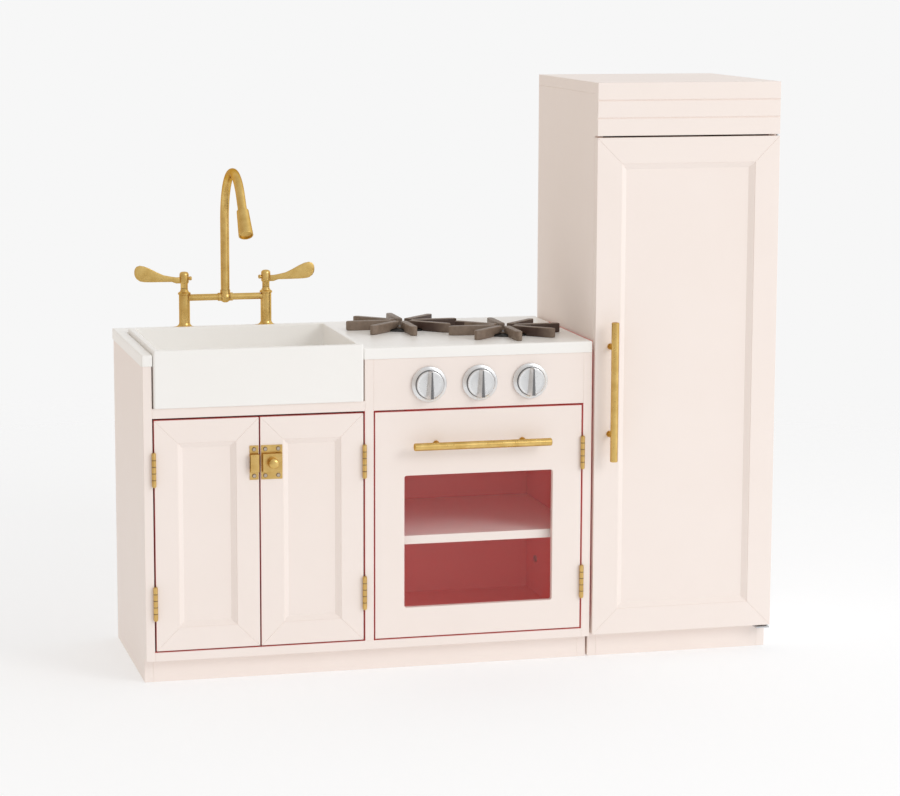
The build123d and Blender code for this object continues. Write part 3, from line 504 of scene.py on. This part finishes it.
drum = turned("knob_drum", hub, out_front, [
    (0.0305, 0.0), (0.0305, 0.0036), (0.0299, 0.0044), (0.0288, 0.0047), (0.0264, 0.0060),
    (0.0250, 0.0072), (0.0246, 0.0060), (0.0238, 0.0058), (0.0235, 0.0072), (0.0235, 0.0108),
    (0.0229, 0.0118), (0.0219, 0.0120), (0.0212, 0.0116), (0.0180, 0.0119),
], 96)
ridge = add_block(
    "knob_ridge", hub + Vector((-ridge_half, -ridge_top, -0.0238)),
    hub + Vector((ridge_half, -ridge_foot, 0.0242)),
)
pick_faces(ridge, lambda face: face.normal.y < -0.9)
height = ridge_top
for rise, narrow, short in ((0.0045, 0.70, 0.992), (0.0045, 0.62, 0.985), (0.0038, 0.74, 0.975)):
    height += rise
    push(out_front * rise, (narrow, 1, short), hub + out_front * height)
pick_faces(ridge, lambda face: face.normal.z > 0.8)
bpy.ops.transform.resize(value=(0.40, 1, 1), center_override=hub)
bpy.ops.object.mode_set(mode="OBJECT")
round_edges(ridge, 0.0003, 2, 20)
round_edges(drum, 0.0002, 2, 50)
shaft = turned("knob_shaft", hub, -out_front, [
    (0.0030, 0.0), (0.0030, 0.0159), (0.0079, 0.0159), (0.0080, 0.0162), (0.0080, 0.0196), (0.0078, 0.0199),
    (0.0030, 0.0199), (0.0029, 0.0220),
], 32)
round_edges(shaft, 0.0002)
knob = joined("knob_left_shown", drum, ridge, shaft)
knob.data.materials.append(silver.material)
knobs = [knob]
for name in knob_names[1:]:
    copy = copy_of(knob, name.replace("stove_", "") + "_shown")
    bpy.ops.transform.translate(value=(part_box(name)[0].x - knob_low.x, 0, 0))
    bpy.ops.object.mode_set(mode="OBJECT")
    knobs.append(copy)
for name, piece in zip(knob_names, knobs):
    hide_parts(name)
    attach(piece, name)

# ------------------------------------------------------------------ tap levers
# Cast brass: a domed hub turning on top of its column, with a flat leaf-shaped
# blade that sweeps up and out, and a round-headed screw on the other side.
hub_foot = 0.010  # above the CAD lever's underside
blade_half = 0.0020
blade_line = [  # from the hub's axis, lower edge, upper edge
    (0.0060, 0.0086, 0.0194), (0.0140, 0.0100, 0.0200), (0.0220, 0.0115, 0.0206), (0.0360, 0.0116, 0.0235),
    (0.0480, 0.0117, 0.0290), (0.0600, 0.0118, 0.0355), (0.0700, 0.0122, 0.0398), (0.0780, 0.0136, 0.0414),
    (0.0840, 0.0178, 0.0396), (0.0868, 0.0225, 0.0356), (0.0878, 0.0265, 0.0310),
]
for side, way in (("left", -1), ("right", 1)):
    name = f"faucet_lever_{side}"
    low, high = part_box(f"faucet_column_{side}")
    foot = Vector(((low.x + high.x) / 2, (low.y + high.y) / 2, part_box(name)[0].z + hub_foot))
    cap = turned("lever_hub", foot, (0, 0, 1), [
        (0.0063, 0.0), (0.0063, 0.0078), (0.0072, 0.0086), (0.0080, 0.0098), (0.0082, 0.0115),
        (0.0082, 0.0232), (0.0080, 0.0250), (0.0074, 0.0266), (0.0062, 0.0278), (0.0045, 0.0286),
        (0.0022, 0.02895), (0.0010, 0.0290),
    ], 48)
    round_edges(cap, 0.0002, 2, 50)
    (start, under, over), (end, _, _) = blade_line[0], blade_line[1]
    blade = add_block(
        "lever_blade", foot + Vector((min(way * start, way * end), -blade_half, under)),
        foot + Vector((max(way * start, way * end), blade_half, over)),
    )
    pick_faces(blade, lambda face: face.normal.x * way > 0.9)
    for reach, lower, upper in blade_line[2:]:
        here = foot + Vector((way * end, 0, (under + over) / 2))
        there = foot + Vector((way * reach, 0, (lower + upper) / 2))
        push(there - here, (1, 1, (upper - lower) / (over - under)), there)
        end, under, over = reach, lower, upper
    bpy.ops.object.mode_set(mode="OBJECT")
    round_edges(blade, 0.0011, 3, 40)
    button = turned("lever_screw", foot + Vector((-way * 0.0050, 0, 0.0170)), (-way, 0, 0), [
        (0.0028, 0.0), (0.0028, 0.0045), (0.0036, 0.0045), (0.0036, 0.0066), (0.0032, 0.0078),
        (0.0022, 0.0084),
    ], 32)
    round_edges(button, 0.0002, 2, 50)
    lever = joined(f"lever_{side}_shown", cap, blade, button)
    lever.data.materials.append(brass.material)
    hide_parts(name)
    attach(lever, name)

# ------------------------------------------------------------------ hob
# Two cast grates: eight round-nosed bars on a low ring, open in the middle, over
# a black burner disc with a small grey cap. The right flanks of the bars are
# painted near black as painted shade.
grate_open, grate_reach = 0.0180, 0.1000
bar_half, bar_top, bar_foot = 0.0060, 0.0165, 0.0036
bar_step = 0.0450  # where the bar comes down to the worktop
grate_names = ("burner_grate_left", "burner_grate_right")

grate_coat = Finish("grate_coat", (0.20, 0.15, 0.115), 0.5)
cast = grate_coat.toned((0.185, 0.135, 0.100), (0.240, 0.180, 0.135), 120.0, (0.46, 0.38, 0.31), 0.8)
# painted shade on the right flanks of the bars
painted_flank_shade = []
for name in grate_names:
    low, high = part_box(name)
    right, beyond = grate_coat.x - (low.x + high.x) / 2, grate_coat.y - (low.y + high.y) / 2
    flank = right.ramp(0.004, 0.024) * (right < grate_reach + 0.0005)
    flank = flank * beyond.ramp(-0.078, -0.052) * (beyond < grate_reach + 0.0005)
    painted_flank_shade.append(flank * (grate_coat.z < high.z - 0.0008))
# painted shade: the right flanks go dark maroon
grate_coat.feed("Base Color", grate_coat.colours(either(painted_flank_shade) * 0.85, cast, (0.035, 0.012, 0.009)))
grate_coat.sheen(260.0, 0.42, 0.15)
grate_coat.grain(900.0, 0.00004, detail=2.0)

low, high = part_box("burner_grate_left")
centre = Vector(((low.x + high.x) / 2, (low.y + high.y) / 2, low.z))
bar = add_block(
    "grate_bar", centre + Vector((grate_open, -bar_half, bar_foot)),
    centre + Vector((bar_step, bar_half, bar_top)),
)
pick_faces(bar, lambda face: face.normal.x > 0.9)
push((0.0020, 0, -bar_foot / 2), (1, 1, 1.279), centre + Vector((bar_step + 0.0020, 0, bar_top / 2)))
push((0.0460, 0, 0))
push((0.0040, 0, 0), (1, 0.70, 1), centre + Vector((grate_reach - 0.0030, 0, bar_top / 2)))
push((0.0030, 0, 0), (1, 0.60, 0.90), centre + Vector((grate_reach, 0, 0.0076)))
bpy.ops.object.mode_set(mode="OBJECT")
round_edges(bar, 0.0014, 3, 28)
bars = [bar]
for turn in range(1, 8):
    bars.append(copy_of(bar, "grate_bar"))
    bpy.ops.transform.rotate(value=turn * pi / 4, orient_axis="Z", center_override=centre)
    bpy.ops.object.mode_set(mode="OBJECT")
ring = turned("grate_ring", centre, (0, 0, 1), [
    (0.0230, 0.0036), (0.0230, 0.0060), (0.0224, 0.0066), (0.0176, 0.0066), (0.0170, 0.0060),
    (0.0170, 0.0036),
], 64)
pick_faces(ring, lambda face: abs(face.normal.z) > 0.99 and len(face.vertices) > 8)
bpy.ops.mesh.delete(type="FACE")
bpy.ops.object.mode_set(mode="OBJECT")
round_edges(ring, 0.0002, 1, 50)
left_grate = joined("grate_left_shown", *bars, ring)
left_grate.data.materials.append(grate_coat.material)
right_grate = copy_of(left_grate, "grate_right_shown")
bpy.ops.transform.translate(value=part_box("burner_grate_right")[0] - low)
bpy.ops.object.mode_set(mode="OBJECT")
for name, grate in zip(grate_names, (left_grate, right_grate)):
    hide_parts(name)
    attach(grate, "cabinet")

burner_black = Finish("burner_black", (0.02, 0.02, 0.02), 0.55)
burner_black.feed("Base Color", burner_black.toned(
    (0.014, 0.014, 0.014), (0.030, 0.029, 0.028), 90.0, (0.10, 0.095, 0.09), 0.6
))
burner_black.sheen(200.0, 0.48, 0.15)
burner_black.grain(800.0, 0.00003, detail=2.0)
finish_node("burner_bodies", burner_black)

burner_grey = Finish("burner_grey", (0.16, 0.18, 0.21), 0.4, 0.6)
burner_grey.feed("Base Color", burner_grey.toned(
    (0.14, 0.16, 0.19), (0.20, 0.22, 0.25), 90.0, (0.40, 0.42, 0.45), 0.6
))
burner_grey.sheen(200.0, 0.34, 0.15)
burner_grey.grain(800.0, 0.00002, detail=2.0)
finish_node("burner_caps", burner_grey)

# ------------------------------------------------------------------ latch knob
# A small turned brass knob on a neck. Inside the case a round crank sits on the
# same spindle, with a pin that draws the bolt.
low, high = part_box("latch_knob")
spindle = Vector(((case_low.x + case_high.x) / 2, low.y + 0.0146, latch_z))
pin_off = 0.0045
ball = turned("latch_ball", spindle, out_front, [
    (0.0030, -0.0030), (0.0030, 0.0002), (0.0052, 0.0004), (0.0052, 0.0012), (0.0044, 0.0024),
    (0.0041, 0.0038), (0.0050, 0.0054), (0.0070, 0.0066), (0.0083, 0.0082), (0.0088, 0.0100),
    (0.0084, 0.0120), (0.0072, 0.0134), (0.0052, 0.0142), (0.0026, 0.0146),
], 48)
round_edges(ball, 0.0002, 2, 60)
crank = turned("latch_crank", spindle, -out_front, [
    (0.0030, 0.0), (0.0030, 0.0017), (0.0086, 0.0017), (0.0086, 0.0029),
], 48)
crank_pin = turned("latch_crank_pin", spindle + Vector((pin_off, 0, pin_off)), -out_front, [
    (0.0015, 0.0025), (0.0015, 0.0087), (0.0012, 0.0090),
], 24)
latch_knob = joined("latch_knob_shown", ball, crank, crank_pin)
latch_knob.data.materials.append(brass.material)
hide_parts("latch_knob")
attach(latch_knob, "latch_turn_knob")

# ------------------------------------------------------------------ oven window
# A thin sheet of clear acrylic, set into the thickness of the oven door behind
# its opening, with the faint marks that wiping leaves.
clear = Finish("clear_acrylic", (0.96, 0.97, 0.97), 0.08)
clear.feed("Alpha", 0.02)
clear.feed("Base Color", clear.toned((0.95, 0.97, 0.97), (0.97, 0.98, 0.98), 12.0, (0.90, 0.95, 0.94), 1.0))
clear.sheen(35.0, 0.05, 0.10, detail=3.0, low=0.3)
clear.grain(120.0, 0.000005)
clear.material.blend_method = "BLEND"
finish_node("oven_window", clear)

# ------------------------------------------------------------------ hidden hardware
# Zinc-plated steel nuts, bolts, shelf pins, pivots and catch plates, and two
# moulded magnetic catches inside the carcass.
zinc = Finish("zinc_plate", (0.55, 0.56, 0.57), 0.35, 1.0)
zinc.feed("Base Color", zinc.toned((0.52, 0.53, 0.55), (0.60, 0.605, 0.61), 80.0, (0.74, 0.74, 0.74), 0.7))
zinc.sheen(300.0, 0.28, 0.2, low=0.0, high=1.0)
zinc.grain(1400.0, 0.00001)
for name in (
    "faucet_nuts", "unit_bolts", "shelf_pins", "fridge_pivots", "oven_catch_plate", "fridge_catch_plate",
):
    finish_node(name, zinc)

catch_body = Finish("catch_body", (0.80, 0.79, 0.77), 0.5)
catch_body.feed("Base Color", catch_body.toned(
    (0.78, 0.77, 0.75), (0.82, 0.81, 0.79), 40.0, (0.88, 0.87, 0.86), 0.6
))
catch_body.sheen(120.0, 0.44, 0.12)
catch_body.grain(900.0, 0.00002, detail=2.0)
finish_node("magnet_catches", catch_body)

# ------------------------------------------------------------------ floor
# A pale seamless studio floor. It fades into the backdrop with distance, so that
# no horizon shows, and glows a little, as a lit paper sweep does.
floor_fade_starts, floor_fade_ends = 2.0, 9.0  # squares of the distance
bpy.ops.mesh.primitive_plane_add(size=24, location=(0, 0, 0))
floor = bpy.context.object
floor.name = "studio_floor"
floor_white = Finish("floor_white", (0.66, 0.675, 0.69), 0.9)
floor_white.feed("Specular IOR Level", 0.0)
floor_white.feed("Emission Color", (1.0, 1.0, 1.0))
floor_white.feed("Emission Strength", 0.365)
far = floor_white.x * floor_white.x + floor_white.y * floor_white.y
floor_white.feed("Alpha", 1.0 - far.ramp(floor_fade_starts, floor_fade_ends))
floor_white.grain(300.0, 0.00002, detail=2.0)
floor.data.materials.append(floor_white.material)
floor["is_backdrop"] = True

# ------------------------------------------------------------------ light
# A wrap of white walls, brighter to the right and behind and warmer to the left,
# and one large soft light from the front right, high up.
scene = bpy.context.scene
world = bpy.data.worlds.new("studio")
scene.world = world
world.use_nodes = True
walls = Tree(world.node_tree)
backdrop = 0.93
direction = walls.add("TexCoord", {}, {})["Generated"]
right, ahead, _ = (Value(walls, out) for out in walls.add("SeparateXYZ", {}, {0: direction}))
wrap = right.ramp(-0.9, 0.3) * 0.14 + right.ramp(0.35, 0.85) * 0.36 + 0.63
behind = ahead.ramp(0.35, 0.8)
glow = wrap * (1.0 - behind) + behind * backdrop
tint = walls.colours(right.ramp(-0.7, 0.1), (1.0, 0.90, 0.81), (1.0, 1.0, 1.0))
background = walls.tree.nodes["Background"]
walls.join(tint, background.inputs["Color"])
walls.join(glow, background.inputs["Strength"])

aim = Vector((0, 0, 0.45))
bpy.ops.object.light_add(type="AREA", location=(3.4, -4.6, 3.2))
key = bpy.context.object
key.name = "key"
key.rotation_euler = (aim - key.location).to_track_quat("-Z", "Y").to_euler()
key.data.shape = "SQUARE"
key.data.size = 2.4
key.data.energy = 86

# ------------------------------------------------------------------ camera
# A long lens from the left and a little above, level to within a fifth of a
# degree, with the colours shown as they are.
eye = (-1.19737, -4.68230, 1.20208)
heading, dip, roll = -14.471, 8.904, 0.189
bpy.ops.object.camera_add()
camera = bpy.context.object
camera.name = "front_camera"
camera.data.sensor_width = 36.0
camera.data.lens = 111.54
camera.data.clip_end = 200
camera.matrix_world = (
    Matrix.Translation(eye)
    @ Matrix.Rotation(radians(heading), 4, "Z")
    @ Matrix.Rotation(radians(90 - dip), 4, "X")
    @ Matrix.Rotation(radians(roll), 4, "Z")
)
scene.camera = camera
scene.view_settings.view_transform = "Standard"
scene.view_settings.look = "None"
scene.cycles.seed = 3
scene.cycles.max_bounces = 14
scene.cycles.diffuse_bounces = 10
scene.cycles.transparent_max_bounces = 12

low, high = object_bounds()
